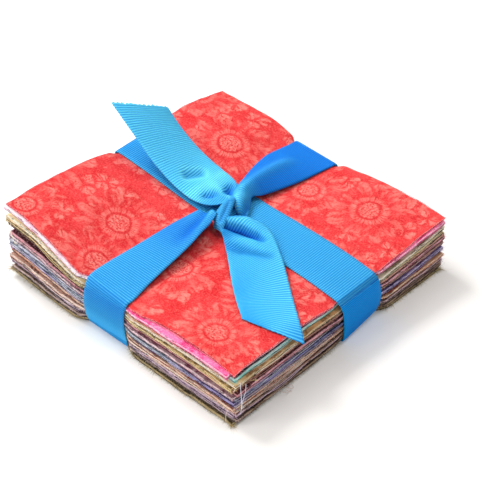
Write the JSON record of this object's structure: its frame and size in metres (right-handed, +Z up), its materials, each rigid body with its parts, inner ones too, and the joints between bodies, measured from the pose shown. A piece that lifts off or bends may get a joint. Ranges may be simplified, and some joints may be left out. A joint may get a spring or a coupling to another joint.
{
  "type": "charm pack",
  "caption": "Loose stack of square cut quilting cottons, tied both ways with a flat grosgrain ribbon that is knotted on top and has two free cut ends.",
  "frame": {"origin": "on the surface that the pack rests on, under the middle of the stack of squares, on the underside of the ribbon", "axes": "+Z up through the stack, +X along the front edge of the squares from the raised corner, +Y along their right edge towards the back"},
  "size_m": [0.136, 0.1318, 0.0564],
  "materials": {
    "cotton_01": "olive quilting cotton, matte",
    "cotton_02": "slate quilting cotton, matte",
    "cotton_03": "mauve quilting cotton, matte",
    "cotton_04": "brown quilting cotton, matte",
    "cotton_05": "blush quilting cotton, matte",
    "cotton_06": "burnt orange quilting cotton, matte",
    "cotton_07": "lavender quilting cotton, matte",
    "cotton_08": "navy quilting cotton, matte",
    "cotton_09": "pale lilac quilting cotton, matte",
    "cotton_10": "crimson quilting cotton, matte",
    "cotton_11": "taupe quilting cotton, matte",
    "cotton_12": "dark olive quilting cotton, matte",
    "cotton_13": "straw quilting cotton, matte",
    "cotton_14": "cream quilting cotton, matte",
    "cotton_15": "teal quilting cotton, matte",
    "cotton_16": "hot pink quilting cotton, matte",
    "cotton_17": "coral red quilting cotton, tonal flower print, matte",
    "grosgrain": "bright blue ribbed ribbon, soft sheen"
  },
  "bodies": {
    "root": {"square_01": "cotton_01", "square_02": "cotton_02", "square_03": "cotton_03", "square_04": "cotton_04", "square_05": "cotton_05", "square_06": "cotton_06", "square_07": "cotton_07", "square_08": "cotton_08", "square_09": "cotton_09", "square_10": "cotton_10", "square_11": "cotton_11", "square_12": "cotton_12", "square_13": "cotton_13", "square_14": "cotton_14", "square_15": "cotton_15", "square_16": "cotton_16", "square_17": "cotton_17", "ribbon": "grosgrain"}
  },
  "joints": []
}
